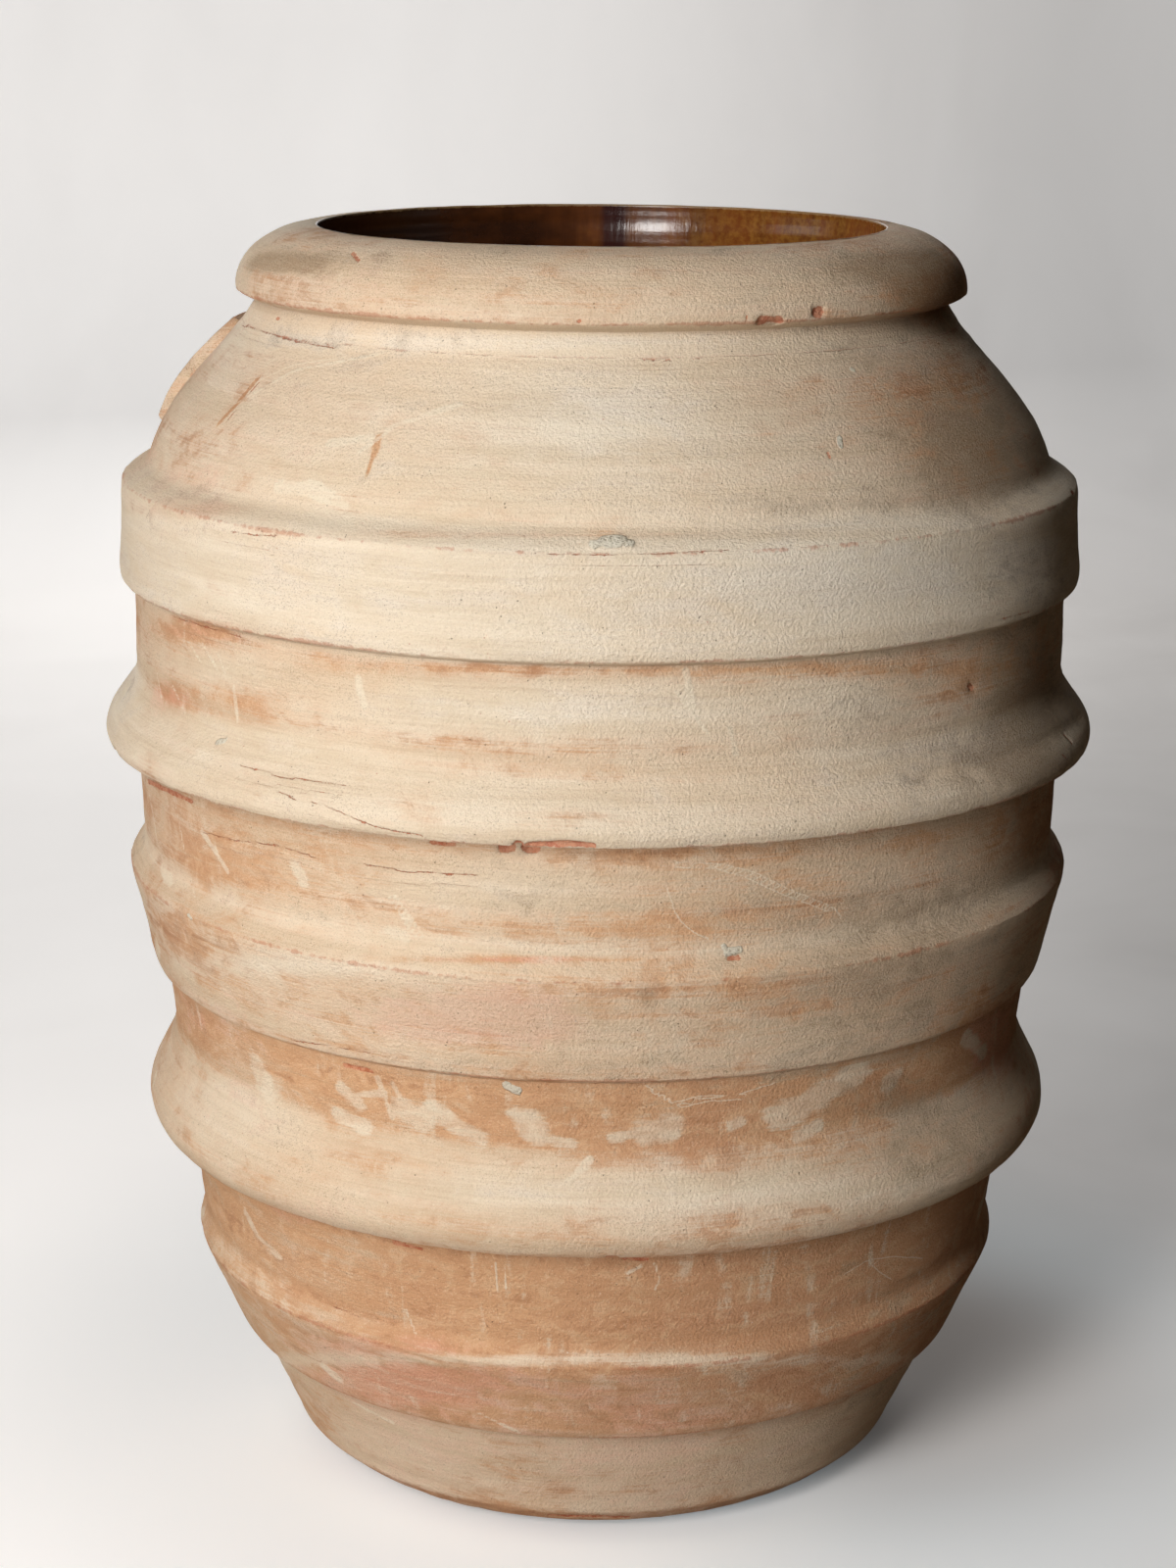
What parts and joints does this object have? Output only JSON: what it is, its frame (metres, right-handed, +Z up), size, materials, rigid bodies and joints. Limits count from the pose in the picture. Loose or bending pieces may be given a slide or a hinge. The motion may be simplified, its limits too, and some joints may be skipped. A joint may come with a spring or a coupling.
{
  "type": "olive jar",
  "caption": "Large barrel-shaped earthenware jar with applied straps, a rolled rim, a glazed inside and a plain seal on the shoulder, for storing olives or oil.",
  "frame": {"origin": "centre of the base, on the ground that the jar stands on", "axes": "+Z up along the jar's axis, -Y towards the pictured front, the seal towards -X"},
  "size_m": [0.7008, 0.7008, 0.885],
  "materials": {
    "warm_clay": "matt, bare fired clay",
    "pale_slip": "matt, pale slip over fired clay",
    "brown_glaze": "glossy lead glaze"
  },
  "bodies": {
    "root": {"base_slab": "warm_clay", "foot_course": "warm_clay", "lower_course": "warm_clay", "hip_course": "warm_clay", "belly_course": "warm_clay", "upper_course": "warm_clay", "shoulder_course": "pale_slip", "neck_collar": "pale_slip", "rolled_rim": "pale_slip", "strap_1_flat": "pale_slip", "strap_2_roll": "pale_slip", "strap_3_flat": "pale_slip", "strap_4_roll": "pale_slip", "strap_5_flat": "pale_slip", "glaze_lining": "brown_glaze", "shoulder_seal": "pale_slip"}
  },
  "joints": []
}
